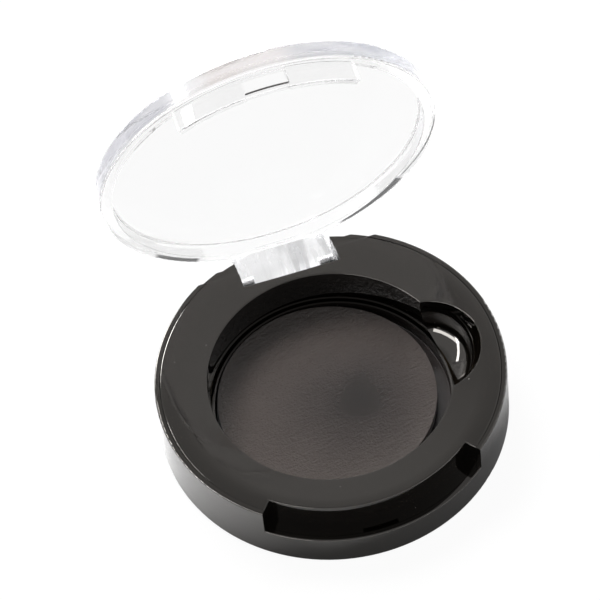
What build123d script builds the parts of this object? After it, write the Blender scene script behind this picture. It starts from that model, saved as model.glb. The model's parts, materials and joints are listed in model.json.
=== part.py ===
from build123d import *
from math import asin, degrees, hypot, radians, sqrt, tan
import os

# Pocket wet palette: a round two-piece base with a lift-out water pan, and a clear hinged lid.
# Millimetres, +Z up.  The origin is the centre of the base's underside, the hinge is at +Y,
# the opening side at -Y and the finger scoop at +X.

# ---- case ----
case_height = 10.8
open_angle = 84.0

# ---- pan, pad, sheet and magnet: the case is built round the pan ----
pan_radius = 18.25
pan_wall = 0.3
pan_height = 2.4
pan_foot_round = 0.5
pad_play = 1.3
pad_shift = (-0.68, 0.9)
pad_thickness = 1.65
pad_edge_round = 0.3
sheet_thickness = 0.15
magnet_radius = 4.0
magnet_thickness = 0.5
magnet_clearance = 0.05

# ---- outer shell ----
shell_wall = 0.8
shell_floor = 1.1
shell_foot_round = 0.9
shell_rim_round = 0.3
shell_rim_drop = 0.07
step_round = 0.2

# ---- tray, pressed into the shell ----
tray_clearance = 0.05
tray_wall = 1.2
tray_rim_round = 0.2
crown_reach = 2.5
crown_round = 20.0
crown_inner_angle = 4.3
pan_clearance = 0.3
scoop_radius = 8.2
scoop_rim_width = 3.15
scoop_floor_height = 1.9
scoop_floor_round = 6.8

# ---- catch recess at the front, and the bump on its wall ----
front_angle = -90
recess_half_angle = 39.5
recess_drop = 4.8
recess_depth = 2.65
recess_side_angle = 4.5
bump_half_angle = 6.5
bump_drop = 1.3
bump_height = 1.15
bump_reach = 0.35
bump_root = 0.2

# ---- hinge ----
hinge_height = 5.22
pin_radius = 0.6
pin_grip = 2.05
pin_sink = 0.05
pin_chamfer = 0.1
pin_fixed_clearance = 0.01
pin_running_clearance = 0.05
pin_end_clearance = 0.1
knuckle_radius = 2.15

# ---- rear of the base: ledges and hinge notch ----
ledge_reach = 1.48
ledge_drop = 0.9
lower_ledge_reach = -0.37
lower_ledge_drop = 1.5
notch_half_width = 7.65
notch_wall = 1.26
notch_front_gap = 1.78
boss_width = 2.85
boss_land = 0.412

# ---- lid ----
lid_thickness = 3.25
lid_rest_gap = 0.1
lid_inset = 0.2
lid_plate = 1.2
lid_rim_width = 1.9
lid_cavity_round = 0.5
lid_top_round = 0.5
lid_bottom_round = 0.45
lid_cavity_edge_round = 0.15
lug_side_clearance = 0.3
lug_lean = 0.36
root_sink = 0.4

# ---- catch tongue of the lid ----
tongue_clearance = 0.4
tongue_thickness = 1.15
tongue_tip_gap = 1.5
tongue_tip_round = 0.2
tongue_end_angle = 6.5
window_side_angle = 1.1
window_clearance = 0.05
bar_clearance = 0.4

# ---- derived, outwards from the pan: well, notch, hinge, rim ----
well_radius = pan_radius + pan_clearance
notch_front_y = well_radius + notch_wall
hinge_y = notch_front_y + notch_front_gap + knuckle_radius
tray_radius = hypot(notch_half_width + boss_land, hinge_y + pin_radius + pin_fixed_clearance)
shell_inner_radius = tray_radius + tray_clearance
case_radius = shell_inner_radius + shell_wall
crest_radius = case_radius - crown_reach
cutter_radius = 2 * case_radius
shell_height = case_height - shell_rim_drop
scoop_center_x = case_radius - scoop_rim_width - scoop_radius
recess_radius = case_radius - recess_depth
recess_floor_height = case_height - recess_drop
bump_top = case_height - bump_drop
bump_radius = recess_radius + bump_reach
ledges = ((case_height - ledge_drop, hinge_y - ledge_reach),
          (case_height - lower_ledge_drop, hinge_y - lower_ledge_reach))
lid_radius = case_radius - lid_inset
lid_underside = case_height + lid_rest_gap
lid_top = lid_underside + lid_thickness
lid_cavity_radius = lid_radius - lid_rim_width
lug_half_width = notch_half_width - lug_side_clearance
pin_inner_x = lug_half_width - pin_grip
pin_outer_x = sqrt(case_radius**2 - (hinge_y + pin_radius) ** 2) - pin_sink
tongue_tip = recess_floor_height + tongue_tip_gap
tongue_radius = recess_radius + tongue_clearance
window_bottom = bump_top - bump_height - window_clearance
pad_radius = pan_radius - pan_wall - pad_play
pad_floor = shell_floor + pan_wall
sheet_floor = pad_floor + pad_thickness
scoop_axis = Axis((scoop_center_x, 0, 0), (0, 0, 1))
hinge_axis = Axis((0, hinge_y, hinge_height), (-1, 0, 0))
match = 0.01


def ring_sector(inner_radius, outer_radius, half_angle):
    # flat piece of a ring, centred on the front of the case
    start = front_angle - half_angle
    with BuildSketch() as sector:
        with BuildLine():
            outer = CenterArc((0, 0), outer_radius, start, 2 * half_angle)
            inner = CenterArc((0, 0), inner_radius, start, 2 * half_angle)
            Line(inner @ 0, outer @ 0)
            Line(inner @ 1, outer @ 1)
        make_face()
    return sector.sketch


def ring_block(inner_radius, outer_radius, half_angle, bottom, top, mode=Mode.ADD):
    # the same piece of a ring, standing from one height to another
    outline = ring_sector(inner_radius, outer_radius, half_angle)
    extrude(Plane.XY.offset(bottom) * outline, amount=top - bottom, mode=mode)


def arcs_at(piece, height, radius):
    # the round edges of one radius at one height
    level = piece.edges().filter_by_position(Axis.Z, height - match, height + match)
    return level.filter_by(GeomType.CIRCLE).filter_by(lambda arc: abs(arc.radius - radius) < match)


def cut_catch_recess():
    ring_block(recess_radius, cutter_radius, recess_half_angle, recess_floor_height, lid_top, Mode.SUBTRACT)


def cut_rear():
    # two ledges that clear the swinging lid, and the notch that takes its lug
    for height, front_y in ledges:
        with BuildSketch(Plane.XY.offset(height)) as step:
            with Locations((0, front_y)):
                Rectangle(2 * cutter_radius, cutter_radius, align=(Align.CENTER, Align.MIN))
        extrude(step.sketch, amount=case_height, mode=Mode.SUBTRACT)
    with BuildSketch() as notch:
        with Locations((0, notch_front_y)):
            Rectangle(2 * notch_half_width, cutter_radius, align=(Align.CENTER, Align.MIN))
    extrude(notch.sketch, amount=case_height, mode=Mode.SUBTRACT)


def bore_pin_holes():
    # one straight bore along the hinge, open at both sides of the case and in the notch
    with BuildSketch(Plane.YZ.offset(-case_radius)) as bore:
        with Locations((hinge_y, hinge_height)):
            Circle(pin_radius + pin_fixed_clearance)
    extrude(bore.sketch, amount=2 * case_radius, mode=Mode.SUBTRACT)


# ---- outer shell: a shallow bowl ----
with BuildPart() as outer_shell:
    with BuildSketch():
        Circle(case_radius)
    extrude(amount=shell_height)
    fillet(arcs_at(outer_shell, 0, case_radius), radius=shell_foot_round)
    with BuildSketch(Plane.XY.offset(shell_floor)):
        Circle(shell_inner_radius)
    extrude(amount=case_height, mode=Mode.SUBTRACT)
    fillet(arcs_at(outer_shell, shell_height, case_radius), radius=shell_rim_round)
    cut_catch_recess()
    cut_rear()
    for height in (recess_floor_height, *(height for height, front_y in ledges)):
        fillet(arcs_at(outer_shell, height, case_radius), radius=step_round)
    bore_pin_holes()
    # pocket that holds the magnet flush with the floor
    with BuildSketch(Plane.XY.offset(shell_floor - magnet_thickness)):
        Circle(magnet_radius + magnet_clearance)
    extrude(amount=magnet_thickness, mode=Mode.SUBTRACT)
outer_shell.part.label = "outer_shell"

# ---- tray: top face, well, scoop, recess and hinge bosses, hollow from below ----
with BuildPart() as tray_insert:
    # the top face is crowned: an arc over the rim that runs into a gentle slope down to the well
    with BuildSketch(Plane.XZ):
        with BuildLine():
            outer_angle = degrees(asin((tray_radius - crest_radius) / crown_round))
            crown_center = (crest_radius, case_height - crown_round)
            crown = CenterArc(crown_center, crown_round, 90 - outer_angle, outer_angle + crown_inner_angle)
            slope_drop = ((crown @ 1).X - well_radius) * tan(radians(crown_inner_angle))
            slope = Line(crown @ 1, (well_radius, (crown @ 1).Y - slope_drop))
            Polyline(slope @ 1, (well_radius, shell_floor), (tray_radius, shell_floor), crown @ 0)
        make_face()
    revolve(axis=Axis.Z)

    # finger scoop: a round pocket with a dished floor that opens into the well
    with BuildSketch(Plane.XZ):
        with BuildLine():
            flat_end_x = scoop_center_x + scoop_radius - scoop_floor_round
            floor = Line((scoop_center_x, scoop_floor_height), (flat_end_x, scoop_floor_height))
            dish = JernArc(floor @ 1, (1, 0), scoop_floor_round, 90)
            wall = Line(dish @ 1, (scoop_center_x + scoop_radius, case_height))
            Polyline(wall @ 1, (scoop_center_x, case_height), floor @ 0)
        make_face()
    revolve(axis=scoop_axis, mode=Mode.SUBTRACT)

    cut_catch_recess()
    cut_rear()
    # round every edge of the top face, but not the seam where its arc runs into its slope
    top_faces = tray_insert.faces().sort_by(Axis.Z)[-2:]
    crown_seam = arcs_at(tray_insert, (crown @ 1).Y, (crown @ 1).X)
    fillet(top_faces.edges() - crown_seam, radius=tray_rim_round)

    # hollow underside: an even wall round the well, scoop, hinge bosses, recess and rim
    hollow_inner = well_radius + tray_wall
    hollow_outer = tray_radius - tray_wall
    recess_back = recess_radius - tray_wall
    with BuildSketch(Plane.XY.offset(shell_floor)):
        Circle(hollow_outer)
        Circle(hollow_inner, mode=Mode.SUBTRACT)
        with Locations((scoop_center_x, 0)):
            Circle(scoop_radius + tray_wall, mode=Mode.SUBTRACT)
        with Locations((0, notch_front_y)):
            Rectangle(
                2 * (notch_half_width + boss_width),
                case_radius,
                align=(Align.CENTER, Align.MIN),
                mode=Mode.SUBTRACT,
            )
        add(ring_sector(recess_back, cutter_radius, recess_half_angle + recess_side_angle), mode=Mode.SUBTRACT)
    extrude(amount=case_height - tray_wall - shell_floor, mode=Mode.SUBTRACT)
    recess_roof = recess_floor_height - tray_wall
    ring_block(recess_back, hollow_outer, recess_half_angle, shell_floor, recess_roof, Mode.SUBTRACT)
    bore_pin_holes()

    # catch bump on the recess wall
    ring_block(recess_radius - bump_root, bump_radius, bump_half_angle, bump_top - bump_height, bump_top)
tray_insert.part.label = "tray_insert"

# ---- hinge pins: one each side, through shell and boss into the lid's lug ----
pins = []
for side, start_x in (("left", -pin_outer_x), ("right", pin_inner_x)):
    with BuildPart() as pin:
        with BuildSketch(Plane.YZ.offset(start_x)):
            with Locations((hinge_y, hinge_height)):
                Circle(pin_radius)
        extrude(amount=pin_outer_x - pin_inner_x)
        chamfer(pin.edges().filter_by(GeomType.CIRCLE), length=pin_chamfer)
    pin.part.label = f"hinge_pin_{side}"
    pins.append(pin)

# ---- magnet, flush in the shell floor under the pan ----
with BuildPart() as pan_magnet:
    with BuildSketch(Plane.XY.offset(shell_floor - magnet_thickness)):
        Circle(magnet_radius)
    extrude(amount=magnet_thickness)
pan_magnet.part.label = "pan_magnet"

# ---- hinge lug of the lid: a round knuckle drawn tangentially up to a foot on the rim ----
with BuildPart() as lug:
    with BuildSketch(Plane.YZ.offset(-lug_half_width)):
        with Locations((hinge_y, hinge_height)):
            Circle(knuckle_radius)
        with Locations((hinge_y + lug_lean, lid_underside)):
            Rectangle(knuckle_radius - lug_lean, root_sink, align=(Align.MIN, Align.MIN))
        make_hull()
    extrude(amount=2 * lug_half_width)
    # its back follows the round of the rim
    with BuildSketch():
        Circle(lid_radius)
    extrude(amount=lid_top, mode=Mode.INTERSECT)
    # a blind running bore in each end
    bore_depth = pin_grip + pin_end_clearance
    for end_x, depth in ((-lug_half_width, bore_depth), (lug_half_width, -bore_depth)):
        with BuildSketch(Plane.YZ.offset(end_x)):
            with Locations((hinge_y, hinge_height)):
                Circle(pin_radius + pin_running_clearance)
        extrude(amount=depth, mode=Mode.SUBTRACT)

# ---- catch tongue of the lid, with a window for the bump and a thinner bar under it ----
with BuildPart() as tongue:
    tongue_angle = recess_half_angle - tongue_end_angle
    tongue_outer = tongue_radius + tongue_thickness
    ring_block(tongue_radius, tongue_outer, tongue_angle, tongue_tip, lid_underside + root_sink)
    fillet(tongue.edges().group_by(Axis.Z)[0], radius=tongue_tip_round)
    window_angle = bump_half_angle + window_side_angle
    bar_radius = bump_radius + bar_clearance
    ring_block(recess_radius, case_radius, window_angle, window_bottom, lid_underside, Mode.SUBTRACT)
    ring_block(recess_radius, bar_radius, window_angle, tongue_tip, lid_underside, Mode.SUBTRACT)

# ---- lid, one clear moulding: modelled closed, then swung open about the hinge ----
with BuildPart() as lid:
    with BuildSketch(Plane.XY.offset(lid_underside)):
        Circle(lid_radius)
    extrude(amount=lid_thickness)
    fillet(arcs_at(lid, lid_top, lid_radius), radius=lid_top_round)
    with BuildSketch(Plane.XY.offset(lid_underside)):
        Circle(lid_cavity_radius)
    extrude(amount=lid_thickness - lid_plate, mode=Mode.SUBTRACT)
    fillet(arcs_at(lid, lid_top - lid_plate, lid_cavity_radius), radius=lid_cavity_round)
    fillet(arcs_at(lid, lid_underside, lid_radius), radius=lid_bottom_round)
    fillet(arcs_at(lid, lid_underside, lid_cavity_radius), radius=lid_cavity_edge_round)
    add(lug.part)
    add(tongue.part)
lid.part = lid.part.rotate(hinge_axis, open_angle)
lid.part.label = "lid"

# ---- water pan: a shallow drawn sheet-metal cup ----
with BuildPart() as pan:
    with BuildSketch(Plane.XY.offset(shell_floor)):
        Circle(pan_radius)
    extrude(amount=pan_height)
    fillet(arcs_at(pan, shell_floor, pan_radius), radius=pan_foot_round)
    offset(amount=-pan_wall, openings=pan.faces().sort_by(Axis.Z)[-1], kind=Kind.INTERSECTION)
pan.part.label = "pan"

# ---- absorbent pad on the pan's floor ----
with BuildPart() as absorbent_pad:
    with BuildSketch(Plane.XY.offset(pad_floor)):
        with Locations(pad_shift):
            Circle(pad_radius)
    extrude(amount=pad_thickness)
    fillet(arcs_at(absorbent_pad, pad_floor, pad_radius), radius=pad_edge_round)
absorbent_pad.part.label = "absorbent_pad"

# ---- palette sheet on the pad ----
with BuildPart() as palette_sheet:
    with BuildSketch(Plane.XY.offset(sheet_floor)):
        with Locations(pad_shift):
            Circle(pad_radius)
    extrude(amount=sheet_thickness)
palette_sheet.part.label = "palette_sheet"

os.makedirs("parts", exist_ok=True)
for piece in (outer_shell, tray_insert, *pins, pan_magnet, lid, pan, absorbent_pad, palette_sheet):
    export_step(piece.part, f"parts/{piece.part.label}.step")
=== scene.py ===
import bpy
import json
import math
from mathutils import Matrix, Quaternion, Vector, noise


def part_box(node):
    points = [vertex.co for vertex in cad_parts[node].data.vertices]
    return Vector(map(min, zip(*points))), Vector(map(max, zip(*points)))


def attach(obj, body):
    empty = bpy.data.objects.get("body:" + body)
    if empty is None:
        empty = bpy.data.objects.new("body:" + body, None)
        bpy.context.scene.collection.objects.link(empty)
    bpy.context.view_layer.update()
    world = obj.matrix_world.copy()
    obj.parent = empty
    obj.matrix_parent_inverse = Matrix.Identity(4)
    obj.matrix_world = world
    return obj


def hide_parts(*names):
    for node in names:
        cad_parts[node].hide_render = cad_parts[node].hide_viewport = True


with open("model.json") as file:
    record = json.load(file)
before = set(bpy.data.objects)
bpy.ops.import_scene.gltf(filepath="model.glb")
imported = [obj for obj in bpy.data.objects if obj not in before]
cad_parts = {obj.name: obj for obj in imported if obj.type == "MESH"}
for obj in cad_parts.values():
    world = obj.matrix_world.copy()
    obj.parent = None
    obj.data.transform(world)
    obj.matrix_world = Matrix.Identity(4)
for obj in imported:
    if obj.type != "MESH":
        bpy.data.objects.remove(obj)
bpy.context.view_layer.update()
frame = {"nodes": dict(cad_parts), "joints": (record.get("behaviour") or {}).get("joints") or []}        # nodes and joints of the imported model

mm = 0.001
nodes = frame["nodes"]
print("frame loaded:", len(nodes), "nodes")

scene = bpy.context.scene
scene.cycles.max_bounces = 40            # the clear rim needs many bounces before it shows the background
scene.cycles.transmission_bounces = 40
scene.cycles.glossy_bounces = 40


def deselectAll():
    bpy.ops.object.select_all(action="DESELECT")


def activate(piece):
    deselectAll()
    piece.select_set(True)
    bpy.context.view_layer.objects.active = piece


def applyAll(piece):
    # apply modifiers, then place, turn and size, so that the object sits at the origin
    activate(piece)
    for modifier in list(piece.modifiers):
        bpy.ops.object.modifier_apply(modifier=modifier.name)
    bpy.ops.object.transform_apply(location=True, rotation=True, scale=True)


def faceOutwards(piece):
    activate(piece)
    bpy.ops.object.mode_set(mode="EDIT")
    bpy.ops.mesh.select_all(action="SELECT")
    bpy.ops.mesh.normals_make_consistent(inside=False)
    bpy.ops.object.mode_set(mode="OBJECT")


# node helpers: each makes one node and gives back its output socket

def newMaterial(name):
    material = bpy.data.materials.new(name)
    material.use_nodes = True
    return material, material.node_tree, material.node_tree.nodes["Principled BSDF"]


def feed(tree, source, socket):
    if isinstance(source, bpy.types.NodeSocket):
        tree.links.new(source, socket)
    else:
        socket.default_value = source


def maths(tree, operation, first, second=0.0, clamp=False):
    node = tree.nodes.new("ShaderNodeMath")
    node.operation = operation
    node.use_clamp = clamp
    feed(tree, first, node.inputs[0])
    feed(tree, second, node.inputs[1])
    return node.outputs["Value"]


def product(tree, first, *others):
    for other in others:
        first = maths(tree, "MULTIPLY", first, other)
    return first


def ramp(tree, value, fromLow, fromHigh, toLow=0.0, toHigh=1.0):
    node = tree.nodes.new("ShaderNodeMapRange")
    node.interpolation_type = "SMOOTHSTEP"
    feed(tree, value, node.inputs["Value"])
    feed(tree, fromLow, node.inputs["From Min"])
    feed(tree, fromHigh, node.inputs["From Max"])
    feed(tree, toLow, node.inputs["To Min"])
    feed(tree, toHigh, node.inputs["To Max"])
    return node.outputs["Result"]


def blendColor(tree, share, first, second):
    node = tree.nodes.new("ShaderNodeMix")
    node.data_type = "RGBA"
    feed(tree, share, node.inputs["Factor"])
    feed(tree, first, node.inputs["A"])
    feed(tree, second, node.inputs["B"])
    return node.outputs["Result"]


def cloudNoise(tree, vector, scale, detail=2.0, roughness=0.5):
    node = tree.nodes.new("ShaderNodeTexNoise")
    feed(tree, vector, node.inputs["Vector"])
    feed(tree, scale, node.inputs["Scale"])
    node.inputs["Detail"].default_value = detail
    node.inputs["Roughness"].default_value = roughness
    return node.outputs["Fac"]


def placed(tree, vector, turn=(0, 0, 0), stretch=(1, 1, 1), shift=(0, 0, 0)):
    node = tree.nodes.new("ShaderNodeMapping")
    feed(tree, vector, node.inputs["Vector"])
    node.inputs["Rotation"].default_value = turn
    node.inputs["Scale"].default_value = stretch
    node.inputs["Location"].default_value = shift
    return node.outputs["Vector"]


def objectPoint(tree):
    return tree.nodes.new("ShaderNodeTexCoord").outputs["Object"]


def parts(tree, vector):
    node = tree.nodes.new("ShaderNodeSeparateXYZ")
    feed(tree, vector, node.inputs["Vector"])
    return node.outputs["X"], node.outputs["Y"], node.outputs["Z"]


def distanceFromAxis(tree, x, y):
    return maths(tree, "SQRT", maths(tree, "ADD", product(tree, x, x), product(tree, y, y)))


def mixShaders(tree, share, first, second):
    # first and second are shader nodes; so is what it gives back
    node = tree.nodes.new("ShaderNodeMixShader")
    feed(tree, share, node.inputs["Fac"])
    tree.links.new(first.outputs[0], node.inputs[1])
    tree.links.new(second.outputs[0], node.inputs[2])
    return node


def bump(tree, height, depth):
    node = tree.nodes.new("ShaderNodeBump")
    node.inputs["Distance"].default_value = depth
    feed(tree, height, node.inputs["Height"])
    return node.outputs["Normal"]


def newGroup(name, inputs, output):
    group = bpy.data.node_groups.new(name, "ShaderNodeTree")
    for label, kind in inputs:
        group.interface.new_socket(name=label, in_out="INPUT", socket_type=kind)
    group.interface.new_socket(name=output, in_out="OUTPUT", socket_type="NodeSocketFloat")
    return group, group.nodes.new("NodeGroupInput"), group.nodes.new("NodeGroupOutput")


def useGroup(tree, group, **values):
    node = tree.nodes.new("ShaderNodeGroup")
    node.node_tree = group
    for label, value in values.items():
        feed(tree, value, node.inputs[label])
    return node.outputs[0]


# shared effects

def makeSpeckGroup():
    # round specks, one to a cell at most; Share is the share of cells that hold one
    group, given, result = newGroup(
        "specks",
        [("Vector", "NodeSocketVector"), ("Scale", "NodeSocketFloat"),
         ("Share", "NodeSocketFloat"), ("Size", "NodeSocketFloat")],
        "Mask",
    )
    cells = group.nodes.new("ShaderNodeTexVoronoi")
    feed(group, given.outputs["Vector"], cells.inputs["Vector"])
    feed(group, given.outputs["Scale"], cells.inputs["Scale"])
    luck = group.nodes.new("ShaderNodeSeparateColor")
    feed(group, cells.outputs["Color"], luck.inputs["Color"])
    size = product(group, given.outputs["Size"], luck.outputs["Green"])
    spot = ramp(group, cells.outputs["Distance"], product(group, size, 0.5), size, 1.0, 0.0)
    kept = maths(group, "LESS_THAN", luck.outputs["Red"], given.outputs["Share"])
    feed(group, product(group, spot, kept), result.inputs["Mask"])
    return group


def makeScratchGroup(specks):
    # short hairline scratches: specks drawn out along three directions
    group, given, result = newGroup(
        "hairScratches",
        [("Vector", "NodeSocketVector"), ("Scale", "NodeSocketFloat"), ("Share", "NodeSocketFloat")],
        "Mask",
    )
    total = 0.0
    for turn, narrow in (((0.3, 0.2, 0.5), 0.05), ((0.9, 0.1, 2.0), 0.07), ((0.2, 1.1, 1.3), 0.04)):
        drawn = placed(group, placed(group, given.outputs["Vector"], turn=turn), stretch=(narrow, 1, 1))
        mark = useGroup(
            group, specks, Vector=drawn,
            Scale=given.outputs["Scale"], Share=given.outputs["Share"], Size=0.16)
        total = maths(group, "MAXIMUM", mark, total)
    feed(group, total, result.inputs["Mask"])
    return group


def makeSmudgeGroup():
    # broad soft patches, as handling leaves on a polished face
    group, given, result = newGroup(
        "smudges", [("Vector", "NodeSocketVector"), ("Scale", "NodeSocketFloat")], "Mask")
    point, scale = given.outputs["Vector"], given.outputs["Scale"]
    broad = cloudNoise(group, point, scale, 3.0)
    fine = cloudNoise(group, point, product(group, scale, 7.0), 3.0)
    patch = ramp(group, broad, 0.52, 0.72)
    feed(group, product(group, patch, ramp(group, fine, 0.3, 0.7)), result.inputs["Mask"])
    return group


def makeMouldWaveGroup():
    # the slow unevenness of a moulded face, with a trace of fine orange peel
    group, given, result = newGroup(
        "mouldWave", [("Vector", "NodeSocketVector"), ("Scale", "NodeSocketFloat")], "Height")
    point, scale = given.outputs["Vector"], given.outputs["Scale"]
    slow = cloudNoise(group, point, scale, 1.0)
    peel = cloudNoise(group, point, product(group, scale, 9.0), 1.0)
    feed(group, maths(group, "ADD", slow, product(group, peel, 0.03)), result.inputs["Height"])
    return group


specks = makeSpeckGroup()
hairScratches = makeScratchGroup(specks)
smudges = makeSmudgeGroup()
mouldWave = makeMouldWaveGroup()
print("shared effects made")


def dress(nodeName, material):
    piece = nodes[nodeName]
    for slot in piece.material_slots:
        slot.material = material


# base: glossy black moulding

blackMoulding = {
    "color": (0.0020, 0.0016, 0.0012, 1),
    "glossTint": (1.0, 0.95, 0.90, 1),
    "dustColor": (0.20, 0.19, 0.18, 1),
    "roughness": 0.03,
    "refraction": 1.6,
    "waveScale": 170,            # per metre, a wave of about 6 mm
    "waveDepth": 0.02 * mm,
    "dustShare": 0.05,
    "scratchShare": 0.05,
}


def makeBlackMoulding():
    look = blackMoulding
    material, tree, shader = newMaterial("blackMoulding")
    point = objectPoint(tree)
    dust = useGroup(tree, specks, Vector=point, Scale=1300.0, Share=look["dustShare"], Size=0.16)
    scratches = useGroup(tree, hairScratches, Vector=point, Scale=1500.0, Share=look["scratchShare"])
    smudge = useGroup(tree, smudges, Vector=point, Scale=90.0)
    pale = maths(tree, "ADD", product(tree, dust, 0.5), product(tree, scratches, 0.04))
    feed(tree, blendColor(tree, pale, look["color"], look["dustColor"]), shader.inputs["Base Color"])
    rough = maths(tree, "ADD", look["roughness"], product(tree, smudge, 0.05))
    rough = maths(tree, "ADD", rough, product(tree, dust, 0.4))
    rough = maths(tree, "ADD", rough, product(tree, scratches, 0.12), clamp=True)
    feed(tree, rough, shader.inputs["Roughness"])
    wave = useGroup(tree, mouldWave, Vector=point, Scale=look["waveScale"])
    feed(tree, bump(tree, wave, look["waveDepth"]), shader.inputs["Normal"])
    shader.inputs["IOR"].default_value = look["refraction"]
    shader.inputs["Specular Tint"].default_value = look["glossTint"]
    return material


blackMaterial = makeBlackMoulding()
dress("outer_shell", blackMaterial)
dress("tray_insert", blackMaterial)
print("base dressed")

# lid: one clear moulding, frosted at its lug

clearLid = {
    "plateColor": (1.0, 1.0, 1.0, 1),
    # painted shade and highlight on the rim's side wall: azimuth in degrees on the closed lid, and the tint
    # painted there for the light and shade it shows; the pale stops near -117 to -112 are a painted
    # highlight
    "rimPaintedShadeStops": [
        (-180, (0.32, 0.32, 0.37, 1)),
        (-126, (0.42, 0.42, 0.48, 1)),
        (-117, (0.80, 0.80, 0.83, 1)),
        (-112, (0.80, 0.78, 0.79, 1)),
        (-105, (0.70, 0.63, 0.61, 1)),
        (-86, (0.74, 0.68, 0.67, 1)),
        (-76, (0.46, 0.46, 0.50, 1)),
        (-40, (0.42, 0.44, 0.52, 1)),
        (-8, (0.80, 0.80, 0.84, 1)),
        (60, (0.92, 0.92, 0.93, 1)),
        (150, (0.9, 0.9, 0.9, 1)),
        (180, (0.32, 0.32, 0.37, 1)),
    ],
    "lugColor": (0.66, 0.66, 0.67, 1),
    "lugStreak": (0.36, 0.36, 0.37, 1),
    "rimPaintedDarkInGloss": (0.10, 0.10, 0.12, 1),        # painted shade: the rim painted dark where the base mirrors it
    "paintedReflectionColor": (0.004, 0.004, 0.004, 1),
    # painted reflections: dark lines where the rim shows the dark base, painted into its colour; first and
    # last azimuth, radius and half width at each
    "streaks": [
        (-2, 37, 26.20 * mm, 24.90 * mm, 0.16 * mm, 0.14 * mm),
        (35, 68, 25.10 * mm, 25.45 * mm, 0.85 * mm, 0.30 * mm),
        (118, 140, 25.50 * mm, 25.65 * mm, 0.78 * mm, 0.66 * mm),
        (-146, -123, 24.50 * mm, 24.50 * mm, 0.14 * mm, 0.14 * mm),
    ],
    "paintedReflectionHeight": 0.3 * mm,    # the painted reflection lines reach this far up from the rim's underside
    "plateEdge": 24.2 * mm,      # inside this radius the plate hardly mirrors
    "plateFade": 0.2 * mm,
    "plateClear": 0.95,
    "refraction": 1.49,
    "squareOn": 0.2,             # how nearly square a ray meets the plate's back
    "plateLoss": (0.962, 0.962, 0.962, 1),
    "tongueFront": -18.0 * mm,   # in front of this the catch tongue is almost unseen
    "tongueClear": 0.85,
    "tongueReach": 1.0 * mm,     # past the plate's edge
    "windowHalfWidth": 4.3 * mm, # nearer the middle only the low faces are treated so
    "lowFaces": 1.9 * mm,        # faces up to this far above the rim's underside
    "ringBack": 4.0 * mm,        # behind this the rim is less seen
    "ringFade": 8.0 * mm,
    "ringClear": 0.7,
    "straightLoss": (0.965, 0.965, 0.965, 1),
    "lampLoss": (0.93, 0.93, 0.94, 1),
    "outerRadius": 26.3 * mm,
    "underside": 10.9 * mm,
    "lugDepth": 0.25 * mm,       # how far under the rim the frosting starts
    "lugFront": 18.0 * mm,
    "lugRoughness": 0.32,
    "waveDepth": 0.015 * mm,
    "gloss": 0.3,
}


def closedLidPoint(tree):
    # the lid's own place when shut: the open lid turned back about its hinge
    hinge = next(joint for joint in frame["joints"] if joint["name"] == "lid_hinge")
    turn = math.radians(-hinge["range_deg"][0])
    x, y, z = hinge["pos_m"]
    backY = y * math.cos(turn) - z * math.sin(turn)
    backZ = y * math.sin(turn) + z * math.cos(turn)
    return placed(tree, objectPoint(tree), turn=(turn, 0, 0), shift=(0, y - backY, z - backZ))


def valueBetween(tree, azimuth, first, last, start, end):
    # runs from start to end as the azimuth goes from first to last
    share = maths(tree, "DIVIDE", maths(tree, "SUBTRACT", azimuth, first), last - first)
    return maths(tree, "ADD", product(tree, share, end - start), start)


# painted reflections of the dark base, drawn as lines in the rim's colour
def rimPaintedReflections(tree, radius, azimuth, z):
    total = 0.0
    for first, last, firstRadius, lastRadius, firstWidth, lastWidth in clearLid["streaks"]:
        middle = valueBetween(tree, azimuth, first, last, firstRadius, lastRadius)
        width = valueBetween(tree, azimuth, first, last, firstWidth, lastWidth)
        off = maths(tree, "ABSOLUTE", maths(tree, "SUBTRACT", radius, middle))
        mark = ramp(tree, off, product(tree, width, 0.6), width, 1.0, 0.0)
        mark = product(tree, mark, ramp(tree, azimuth, first, first + 2))
        mark = product(tree, mark, ramp(tree, azimuth, last, last - 4))
        total = maths(tree, "MAXIMUM", mark, total)
    bottom = maths(tree, "LESS_THAN", z, clearLid["underside"] + clearLid["paintedReflectionHeight"])
    return product(tree, total, bottom)


# painted shade and highlight on the rim, blended from stop to stop by azimuth
def paintedRimShade(tree, azimuth):
    tints = clearLid["rimPaintedShadeStops"]
    color = tints[0][1]
    for before, (start, tint) in zip(tints, tints[1:]):
        color = blendColor(tree, ramp(tree, azimuth, before[0], start), color, tint)
    return color


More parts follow.
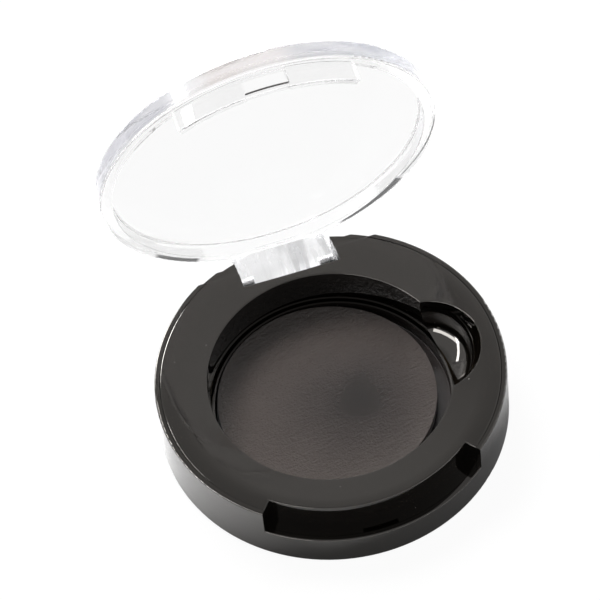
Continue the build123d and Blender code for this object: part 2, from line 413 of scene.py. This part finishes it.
def makeClearPlastic():
    look = clearLid
    material, tree, shader = newMaterial("clearPlastic")
    point = closedLidPoint(tree)
    x, y, z = parts(tree, point)
    radius = distanceFromAxis(tree, x, y)
    azimuth = product(tree, maths(tree, "ARCTAN2", y, x), 180 / math.pi)
    # masks: outer wall of the rim, and the lug under it
    wall = ramp(tree, radius, look["outerRadius"] - 0.10 * mm, look["outerRadius"] - 0.02 * mm)
    wall = product(tree, wall, ramp(tree, z, look["underside"] + 0.2 * mm, look["underside"] + 0.5 * mm))
    lug = ramp(tree, z, look["underside"] - look["lugDepth"], look["underside"] - 2 * look["lugDepth"])
    lug = product(tree, lug, maths(tree, "GREATER_THAN", y, look["lugFront"]))
    path = tree.nodes.new("ShaderNodeLightPath")
    inside = tree.nodes.new("ShaderNodeNewGeometry").outputs["Backfacing"]
    mirrored = product(tree, path.outputs["Is Glossy Ray"], maths(tree, "SUBTRACT", 1.0, inside))
    # colours: rim with painted shade and highlight, streaked lug, and the painted dark reflection lines
    # over both
    cloud = cloudNoise(tree, placed(tree, point, stretch=(1, 1, 9)), 130.0, 3.0)
    stripes = ramp(tree, cloud, 0.35, 0.65, 0.0, 0.22)
    paintedRimColor = blendColor(tree, stripes, paintedRimShade(tree, azimuth), look["plateColor"])
    # painted shade: the rim painted dark for gloss rays that meet it from outside, as the base mirrors it
    paintedRimColor = blendColor(tree, mirrored, paintedRimColor, look["rimPaintedDarkInGloss"])
    color = blendColor(tree, wall, look["plateColor"], paintedRimColor)
    flow = cloudNoise(tree, placed(tree, point, turn=(0, 0.35, 0), stretch=(1, 0.3, 0.22)), 420.0, 2.0)
    lugColor = blendColor(tree, ramp(tree, flow, 0.40, 0.62), look["lugColor"], look["lugStreak"])
    color = blendColor(tree, lug, color, lugColor)
    paintedReflectionMask = rimPaintedReflections(tree, radius, azimuth, z)
    feed(tree, blendColor(tree, paintedReflectionMask, color, look["paintedReflectionColor"]), shader.inputs["Base Color"])
    # gloss, frosted on the lug
    scratches = useGroup(tree, hairScratches, Vector=point, Scale=1100.0, Share=0.03)
    smudge = useGroup(tree, smudges, Vector=point, Scale=80.0)
    streaks = cloudNoise(tree, placed(tree, point, turn=(0, 0.5, 0), stretch=(1, 1, 0.2)), 900.0, 3.0)
    frost = product(tree, lug, look["lugRoughness"], ramp(tree, streaks, 0.25, 0.6))
    rough = maths(tree, "ADD", product(tree, scratches, 0.10), product(tree, smudge, 0.012))
    rough = maths(tree, "ADD", rough, product(tree, wall, 0.10))
    feed(tree, maths(tree, "ADD", rough, frost, clamp=True), shader.inputs["Roughness"])
    wave = useGroup(tree, mouldWave, Vector=point, Scale=150.0)
    feed(tree, bump(tree, wave, look["waveDepth"]), shader.inputs["Normal"])
    shader.inputs["IOR"].default_value = look["refraction"]
    shader.inputs["Specular IOR Level"].default_value = look["gloss"]
    shader.inputs["Transmission Weight"].default_value = 1.0
    # the plate refracts but hardly mirrors what is looked at through it
    refract = tree.nodes.new("ShaderNodeBsdfRefraction")
    refract.inputs["Color"].default_value = look["plateLoss"]
    refract.inputs["Roughness"].default_value = 0.0
    refract.inputs["IOR"].default_value = look["refraction"]
    facing = tree.nodes.new("ShaderNodeLayerWeight").outputs["Facing"]
    # the back of the plate is met inside it by a ray that no mirror has turned
    square = maths(tree, "LESS_THAN", facing, look["squareOn"])
    unturned = maths(tree, "LESS_THAN", path.outputs["Ray Depth"], 1.5)
    square = product(tree, path.outputs["Is Transmission Ray"], unturned, square)
    looked = maths(tree, "MAXIMUM", path.outputs["Is Camera Ray"], square)
    inner = ramp(tree, radius, look["plateEdge"], look["plateEdge"] - look["plateFade"])
    plate = mixShaders(tree, product(tree, looked, inner, look["plateClear"]), shader, refract)
    # the catch tongue and the back of the rim let most light straight on
    straight = tree.nodes.new("ShaderNodeBsdfTransparent")
    straight.inputs["Color"].default_value = look["straightLoss"]
    beside = maths(tree, "GREATER_THAN", maths(tree, "ABSOLUTE", x), look["windowHalfWidth"])
    low = maths(tree, "LESS_THAN", z, look["underside"] + look["lowFaces"])
    tongueEdge = look["plateEdge"] + look["tongueReach"]
    tongue = maths(tree, "LESS_THAN", y, look["tongueFront"])
    tongue = product(tree, tongue, maths(tree, "MAXIMUM", beside, low))
    tongue = product(tree, tongue, ramp(tree, radius, tongueEdge, tongueEdge - look["plateFade"]))
    ring = ramp(tree, y, look["ringBack"], look["ringBack"] + look["ringFade"])
    ring = product(tree, ring, maths(tree, "SUBTRACT", 1.0, lug), maths(tree, "SUBTRACT", 1.0, paintedReflectionMask))
    ring = product(tree, ring, ramp(tree, radius, look["plateEdge"] - look["plateFade"], look["plateEdge"]))
    clear = maths(
        tree, "ADD", product(tree, tongue, look["tongueClear"]),
        product(tree, ring, look["ringClear"]), clamp=True)
    clear = product(tree, clear, path.outputs["Is Camera Ray"])
    clearMix = mixShaders(tree, clear, plate, straight)
    # lamps pass through all of it with a slight loss
    letThrough = tree.nodes.new("ShaderNodeBsdfTransparent")
    letThrough.inputs["Color"].default_value = look["lampLoss"]
    mix = mixShaders(tree, path.outputs["Is Shadow Ray"], clearMix, letThrough)
    tree.links.new(mix.outputs[0], tree.nodes["Material Output"].inputs["Surface"])
    return material


dress("lid", makeClearPlastic())
print("lid dressed")

# water pan: dark enamel inside, gold lacquer outside, bare metal on the cut rim

panFinish = {
    "enamel": (0.014, 0.011, 0.010, 1),
    "gold": (0.42, 0.25, 0.08, 1),
    "bare": (0.10, 0.095, 0.09, 1),
    "wall": 0.3 * mm,
    "drawnDepth": 0.004 * mm,
    "roughness": 0.14,
}


def makePanFinish():
    look = panFinish
    low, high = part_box("pan")
    material, tree, shader = newMaterial("panFinish")
    point = objectPoint(tree)
    x, y, z = parts(tree, point)
    radius = distanceFromAxis(tree, x, y)
    outside = ramp(tree, radius, high[0] - 0.7 * look["wall"], high[0] - 0.4 * look["wall"])
    under = ramp(tree, z, low[2] + 0.6 * look["wall"], low[2] + 0.3 * look["wall"])
    rim = ramp(tree, z, high[2] - 0.08 * mm, high[2] - 0.02 * mm)
    gold = maths(tree, "MAXIMUM", outside, under)
    metal = maths(tree, "MAXIMUM", gold, rim)
    scratches = useGroup(tree, hairScratches, Vector=point, Scale=1800.0, Share=0.12)
    drawn = cloudNoise(tree, placed(tree, point, stretch=(1, 1, 14)), 420.0, 3.0)
    color = blendColor(tree, gold, look["enamel"], look["gold"])
    color = blendColor(tree, rim, color, look["bare"])
    color = blendColor(tree, product(tree, scratches, 0.25), color, look["bare"])
    feed(tree, color, shader.inputs["Base Color"])
    feed(tree, metal, shader.inputs["Metallic"])
    rough = maths(tree, "ADD", look["roughness"], product(tree, drawn, 0.12))
    feed(tree, maths(tree, "ADD", rough, product(tree, scratches, 0.15)), shader.inputs["Roughness"])
    feed(tree, bump(tree, drawn, look["drawnDepth"]), shader.inputs["Normal"])
    return material


dress("pan", makePanFinish())

# hinge pins: drawn steel wire, and the nickel-plated magnet

metals = {
    "steelDark": (0.50, 0.50, 0.50, 1),
    "steelPale": (0.66, 0.65, 0.64, 1),
    "steelLines": 0.004 * mm,
    "nickelDark": (0.55, 0.53, 0.49, 1),
    "nickelPale": (0.68, 0.66, 0.62, 1),
    "nickelScratches": 0.003 * mm,
}


def makePinSteel():
    material, tree, shader = newMaterial("drawnSteel")
    point = objectPoint(tree)
    lines = cloudNoise(tree, placed(tree, point, stretch=(0.04, 1, 1)), 5200.0, 3.0)
    color = blendColor(tree, lines, metals["steelDark"], metals["steelPale"])
    feed(tree, color, shader.inputs["Base Color"])
    feed(tree, ramp(tree, lines, 0.2, 0.8, 0.16, 0.34), shader.inputs["Roughness"])
    feed(tree, bump(tree, lines, metals["steelLines"]), shader.inputs["Normal"])
    shader.inputs["Metallic"].default_value = 1.0
    return material


def makeNickelPlate():
    material, tree, shader = newMaterial("nickelPlate")
    point = objectPoint(tree)
    scratches = useGroup(tree, hairScratches, Vector=point, Scale=1500.0, Share=0.25)
    cloud = cloudNoise(tree, point, 700.0, 4.0)
    color = blendColor(tree, cloud, metals["nickelDark"], metals["nickelPale"])
    feed(tree, color, shader.inputs["Base Color"])
    rough = maths(tree, "ADD", ramp(tree, cloud, 0.2, 0.8, 0.14, 0.24), product(tree, scratches, 0.2))
    feed(tree, rough, shader.inputs["Roughness"])
    feed(tree, bump(tree, scratches, metals["nickelScratches"]), shader.inputs["Normal"])
    shader.inputs["Metallic"].default_value = 1.0
    return material


pinMaterial = makePinSteel()
dress("hinge_pin_left", pinMaterial)
dress("hinge_pin_right", pinMaterial)
dress("pan_magnet", makeNickelPlate())
print("pan, pins and magnet dressed")

# absorbent pad: a thin damp felt disc

pad = {
    "segments": 128,
    "rings": 10,
    "edgeRound": 0.45 * mm,
    "fuzz": 0.03 * mm,
    "fibreDepth": 0.05 * mm,
    "color": (0.030, 0.026, 0.024, 1),
    "paleFibre": (0.10, 0.09, 0.08, 1),
}


def makeFelt():
    look = pad
    material, tree, shader = newMaterial("dampFelt")
    point = objectPoint(tree)
    fibres = 0.0
    for turn in (0.2, 1.3, 2.4):
        turned = placed(tree, point, turn=(0.1, 0, turn))
        strand = cloudNoise(tree, placed(tree, turned, stretch=(0.12, 1, 1)), 5200.0, 3.0)
        fibres = maths(tree, "MAXIMUM", strand, fibres)
    damp = cloudNoise(tree, point, 260.0, 3.0)
    pale = product(tree, ramp(tree, fibres, 0.5, 0.75), ramp(tree, damp, 0.3, 0.7, 0.35, 1.0))
    feed(tree, blendColor(tree, pale, look["color"], look["paleFibre"]), shader.inputs["Base Color"])
    feed(tree, ramp(tree, damp, 0.3, 0.7, 0.55, 0.85), shader.inputs["Roughness"])
    feed(tree, bump(tree, fibres, look["fibreDepth"]), shader.inputs["Normal"])
    shader.inputs["Sheen Weight"].default_value = 0.25
    shader.inputs["Sheen Roughness"].default_value = 0.5
    return material


def makePad():
    look = pad
    low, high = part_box("absorbent_pad")
    centre = [(a + b) / 2 for a, b in zip(low, high)]
    radius = (high[0] - low[0]) / 2
    thickness = high[2] - low[2]
    deselectAll()
    bpy.ops.mesh.primitive_cylinder_add(
        vertices=look["segments"], radius=radius - look["fuzz"], depth=thickness - 2 * look["fuzz"],
        end_fill_type="NGON", location=centre)
    piece = bpy.context.object
    piece.name = "feltPad"
    bpy.ops.object.mode_set(mode="EDIT")
    bpy.ops.mesh.select_mode(type="FACE")
    for side in (1, -1):
        bpy.ops.mesh.select_all(action="DESELECT")
        bpy.ops.object.mode_set(mode="OBJECT")
        for face in piece.data.polygons:
            face.select = face.normal.z * side > 0.9
        bpy.ops.object.mode_set(mode="EDIT")
        for ring in range(look["rings"]):
            bpy.ops.mesh.inset(thickness=radius / (look["rings"] + 0.6))
        bpy.ops.mesh.poke()
    bpy.ops.object.mode_set(mode="OBJECT")
    bevel = piece.modifiers.new("edge", "BEVEL")
    bevel.width = look["edgeRound"]
    bevel.segments = 4
    bevel.limit_method = "ANGLE"
    smooth = piece.modifiers.new("felt", "SUBSURF")
    smooth.levels = smooth.render_levels = 1
    applyAll(piece)
    for vertex in piece.data.vertices:
        vertex.co += Vector(noise.noise_vector(vertex.co * 2600)) * look["fuzz"] * 0.5
    faceOutwards(piece)
    activate(piece)
    bpy.ops.object.shade_smooth_by_angle(angle=math.radians(50))
    piece.data.materials.append(makeFelt())
    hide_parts("absorbent_pad")
    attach(piece, "pan")


makePad()
print("felt pad made")

# palette sheet: a dark satin film on the damp pad, with the fine creases it takes as it dries

sheet = {
    "divisions": 220,
    "lift": 0.055 * mm,          # clear of the pad under its creases
    "creaseLength": 0.78 * mm,   # crest to crest
    "creaseAngle": 13.0,         # degrees from +X along the crests
    "grainTurn": -0.23,          # radians, the film's drawn grain
    "creaseDepth": 0.010 * mm,
    "bubbleDepth": 0.008 * mm,
    "wrinkleDepth": 0.25 * mm,
    "leanStart": 11.0 * mm,
    "leanRate": 9.0,             # per metre, how fast the lean grows outwards
    "curlStart": 12.5 * mm,      # from here out the film curls up towards its edge
    "curl": 0.24 * mm,
    "strongSide": -38.0,         # degrees, where the creases are deepest
    "color": (0.036, 0.029, 0.0255, 1),
    "dustColor": (0.22, 0.20, 0.18, 1),
    "refraction": 1.42,
    "darkMiddleColor": (0.001, 0.0008, 0.0007, 1),
    "darkMiddleCentre": (4.0 * mm, -1.5 * mm, 0),
    "darkMiddleRadius": 18.0 * mm,
    "wander": 5.0 * mm,          # how far the darker middle's outline strays
    "leanSide": 10.0 * mm,       # over this distance the lean grows towards the back left
}


def sheetHeight(x, y, radius):
    # x and y are from the sheet's centre; returns how far its top stands off flat
    look = sheet
    across = math.hypot(x, y) / radius
    along = math.radians(look["creaseAngle"])
    strong = math.radians(look["strongSide"])
    run = x * math.cos(along) + y * math.sin(along)
    over = -x * math.sin(along) + y * math.cos(along)
    side = (x * math.cos(strong) + y * math.sin(strong)) / radius
    bend = noise.noise(Vector((x * 120, y * 120, 3.1))) * 0.9
    breakUp = noise.noise(Vector((run * 260, over * 900, 7.7)))
    strength = min(1, max(0, side * 1.3 + 0.1)) + 0.15
    strength *= min(1, max(0.0, 0.55 + 1.6 * breakUp))
    crease = math.sin(2 * math.pi * over / look["creaseLength"] + 3 * bend) * strength
    bubble = noise.noise(Vector((x * 1500, y * 1500, 1.3)))
    bubble += 0.5 * noise.noise(Vector((x * 3200, y * 3200, 5.2)))
    edge = min(1, max(0, (1 - across) * 12))
    curl = max(0, (across * radius - look["curlStart"]) / (radius - look["curlStart"])) ** 2 * look["curl"]
    return edge * (crease * look["creaseDepth"] + bubble * look["bubbleDepth"]) + curl


def makeFilm():
    look = sheet
    material, tree, shader = newMaterial("darkSatinFilm")
    point = objectPoint(tree)
    grain = cloudNoise(tree, point, 3600.0, 3.0)
    turned = placed(tree, point, turn=(0, 0, math.radians(-look["creaseAngle"])))
    drawnPoint = placed(tree, point, turn=(0, 0, look["grainTurn"]))
    drawn = cloudNoise(tree, placed(tree, drawnPoint, stretch=(0.25, 1, 1)), 2600.0, 3.0)
    cloud = cloudNoise(tree, point, 120.0, 2.0)
    dust = useGroup(tree, specks, Vector=point, Scale=900.0, Share=0.05, Size=0.14)
    # darker in the middle, paler towards the edge
    x, y = parts(tree, placed(tree, point, shift=[-c for c in look["darkMiddleCentre"]]))[:2]
    wander = product(tree, maths(tree, "SUBTRACT", cloud, 0.5), look["wander"])
    fromDarkMiddle = maths(tree, "ADD", distanceFromAxis(tree, x, y), wander)
    towardEdge = ramp(tree, fromDarkMiddle, -0.35 * look["darkMiddleRadius"], look["darkMiddleRadius"])
    color = blendColor(tree, towardEdge, look["darkMiddleColor"], look["color"])
    color = blendColor(tree, product(tree, dust, 0.5), color, look["dustColor"])
    feed(tree, color, shader.inputs["Base Color"])
    rough = maths(tree, "ADD", ramp(tree, cloud, 0.3, 0.7, 0.07, 0.10), product(tree, grain, 0.04))
    feed(tree, rough, shader.inputs["Roughness"])
    # short broken wrinkles, shallow in the darker middle and deeper towards the edge
    wrinkles = cloudNoise(tree, placed(tree, turned, stretch=(0.45, 1, 1)), 2300.0, 2.0, 0.6)
    crumple = cloudNoise(tree, point, 3000.0, 2.0, 0.6)
    height = maths(tree, "ADD", product(tree, wrinkles, 0.6), product(tree, crumple, 0.4))
    deeper = ramp(tree, fromDarkMiddle, -0.3 * look["darkMiddleRadius"], 0.8 * look["darkMiddleRadius"], 0.3, 1.0)
    fine = product(tree, maths(tree, "ADD", grain, drawn), 0.04)
    height = maths(tree, "ADD", product(tree, height, deeper), fine)
    # the margin also leans inwards a little
    low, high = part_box("palette_sheet")
    middle = [(a + b) / 2 for a, b in zip(low, high)]
    across, over = parts(tree, placed(tree, point, shift=[-c for c in middle]))[:2]
    lean = maths(tree, "SUBTRACT", distanceFromAxis(tree, across, over), look["leanStart"])
    lean = maths(tree, "MAXIMUM", lean, 0.0)
    backLeft = maths(tree, "SUBTRACT", over, across)
    lean = product(tree, lean, ramp(tree, backLeft, -look["leanSide"], look["leanSide"], 0.4, 1.0))
    lean = product(tree, lean, lean, look["leanRate"] / look["wrinkleDepth"])
    height = maths(tree, "ADD", height, lean)
    feed(tree, bump(tree, height, look["wrinkleDepth"]), shader.inputs["Normal"])
    shader.inputs["IOR"].default_value = look["refraction"]
    return material


def makeSheet():
    look = sheet
    low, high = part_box("palette_sheet")
    centre = ((low[0] + high[0]) / 2, (low[1] + high[1]) / 2)
    radius = (high[0] - low[0]) / 2
    thickness = high[2] - low[2]
    deselectAll()
    bpy.ops.mesh.primitive_grid_add(
        x_subdivisions=look["divisions"], y_subdivisions=look["divisions"], size=2,
        location=(centre[0], centre[1], high[2] + look["lift"]))
    piece = bpy.context.object
    piece.name = "paletteSheet"
    for vertex in piece.data.vertices:
        x, y = vertex.co.x, vertex.co.y
        # the square is drawn in to a disc
        vertex.co.x = x * math.sqrt(1 - y * y / 2) * radius
        vertex.co.y = y * math.sqrt(1 - x * x / 2) * radius
        vertex.co.z = sheetHeight(vertex.co.x, vertex.co.y, radius)
    wall = piece.modifiers.new("film", "SOLIDIFY")
    wall.thickness = thickness
    wall.offset = -1
    applyAll(piece)
    activate(piece)
    bpy.ops.object.shade_smooth_by_angle(angle=math.radians(50))
    piece.data.materials.append(makeFilm())
    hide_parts("palette_sheet")
    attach(piece, "pan")


makeSheet()
print("palette sheet made")

# camera

cameraView = {
    "azimuth": -11.656,      # degrees round the object, 0 looks along +Y
    "elevation": 54.743,
    "roll": -6.666,
    "distance": 623.4 * mm,
    "target": (-0.25 * mm, 14.77 * mm, 10.19 * mm),
    "lens": 246.2,
}


def addCamera():
    azimuth = math.radians(cameraView["azimuth"])
    elevation = math.radians(cameraView["elevation"])
    back = Vector((
        math.sin(azimuth) * math.cos(elevation),
        -math.cos(azimuth) * math.cos(elevation),
        math.sin(elevation),
    ))
    data = bpy.data.cameras.new("camera")
    data.lens = cameraView["lens"]
    data.clip_start = 0.05
    data.clip_end = 20
    camera = bpy.data.objects.new("camera", data)
    scene.collection.objects.link(camera)
    camera.rotation_mode = "QUATERNION"
    level = (-back).to_track_quat("-Z", "Y")
    camera.rotation_quaternion = level @ Quaternion((0, 0, 1), math.radians(cameraView["roll"]))
    camera.location = Vector(cameraView["target"]) + back * cameraView["distance"]
    scene.camera = camera


addCamera()
print("camera placed")

# floor, world and lamps

studio = {
    "floorSize": 6.0,
    "floorColor": (0.8, 0.8, 0.8, 1),
    "floorGlow": 0.95,           # share of plain white that the camera sees in the floor
    "worldLevel": 0.42,          # of the light the room gives
    "roomLow": 1.08,             # the room as a gloss mirrors it, near its walls
    "roomHigh": 0.62,            # and under its ceiling
}

# size is across and up; a lamp lights matt faces, shows in glossy ones, or both
lamps = {
    "backLamp": {
        "azimuth": 107, "elevation": 50, "size": (0.7, 0.4), "tilt": 0,
        "power": 20.5, "lights": True, "shows": False,
    },
    "backBox": {
        "azimuth": 102, "elevation": 20, "size": (0.8, 0.50), "tilt": 0,
        "power": 31.0, "lights": False, "shows": True,
    },
    "slantedStrip": {
        "azimuth": 172, "elevation": 25, "size": (1.35, 0.10), "tilt": -38,
        "power": 9.0, "lights": False, "shows": True,
    },
    "leftStrip": {
        "azimuth": -150, "elevation": 17, "size": (1.1, 0.16), "tilt": 0,
        "power": 7.0, "lights": False, "shows": True,
    },
}


def seenDirectly(tree):
    # 1 for what the camera sees itself or through the clear lid
    path = tree.nodes.new("ShaderNodeLightPath")
    return maths(tree, "MAXIMUM", path.outputs["Is Camera Ray"], path.outputs["Is Transmission Ray"])


def addFloor():
    deselectAll()
    bpy.ops.mesh.primitive_plane_add(size=studio["floorSize"])
    floor = bpy.context.object
    floor.name = "floor"
    material, tree, shader = newMaterial("paleFloor")
    shader.inputs["Base Color"].default_value = studio["floorColor"]
    shader.inputs["Roughness"].default_value = 0.9
    glow = tree.nodes.new("ShaderNodeEmission")
    mix = mixShaders(tree, product(tree, seenDirectly(tree), studio["floorGlow"]), shader, glow)
    tree.links.new(mix.outputs[0], tree.nodes["Material Output"].inputs["Surface"])
    floor.data.materials.append(material)


def addWorld():
    world = bpy.data.worlds.new("studioWorld")
    scene.world = world
    world.use_nodes = True
    tree = world.node_tree
    background = tree.nodes["Background"]
    background.inputs["Color"].default_value = (1, 1, 1, 1)
    height = parts(tree, tree.nodes.new("ShaderNodeTexCoord").outputs["Generated"])[2]
    room = ramp(tree, height, 0.70, 0.88, studio["roomLow"], studio["roomHigh"])
    gloss = tree.nodes.new("ShaderNodeLightPath").outputs["Is Glossy Ray"]
    level = ramp(tree, gloss, 0.0, 1.0, studio["worldLevel"], room)
    feed(tree, ramp(tree, seenDirectly(tree), 0.0, 1.0, level, 1.0), background.inputs["Strength"])


def addLamp(name):
    settings = lamps[name]
    azimuth = math.radians(settings["azimuth"])
    elevation = math.radians(settings["elevation"])
    place = Vector((
        math.cos(azimuth) * math.cos(elevation),
        math.sin(azimuth) * math.cos(elevation),
        math.sin(elevation),
    ))
    data = bpy.data.lights.new(name, "AREA")
    data.shape = "RECTANGLE"
    data.size, data.size_y = settings["size"]
    data.energy = settings["power"]
    lamp = bpy.data.objects.new(name, data)
    lamp.visible_diffuse = settings["lights"]
    lamp.visible_glossy = settings["shows"]
    lamp.visible_transmission = False
    scene.collection.objects.link(lamp)
    lamp.location = place
    lamp.rotation_mode = "QUATERNION"
    facing = (-place).to_track_quat("-Z", "Y")
    lamp.rotation_quaternion = facing @ Quaternion((0, 0, 1), math.radians(settings["tilt"]))


addFloor()
addWorld()
for lampName in lamps:
    addLamp(lampName)
scene.view_settings.view_transform = "Standard"
print("floor, world and lamps placed")
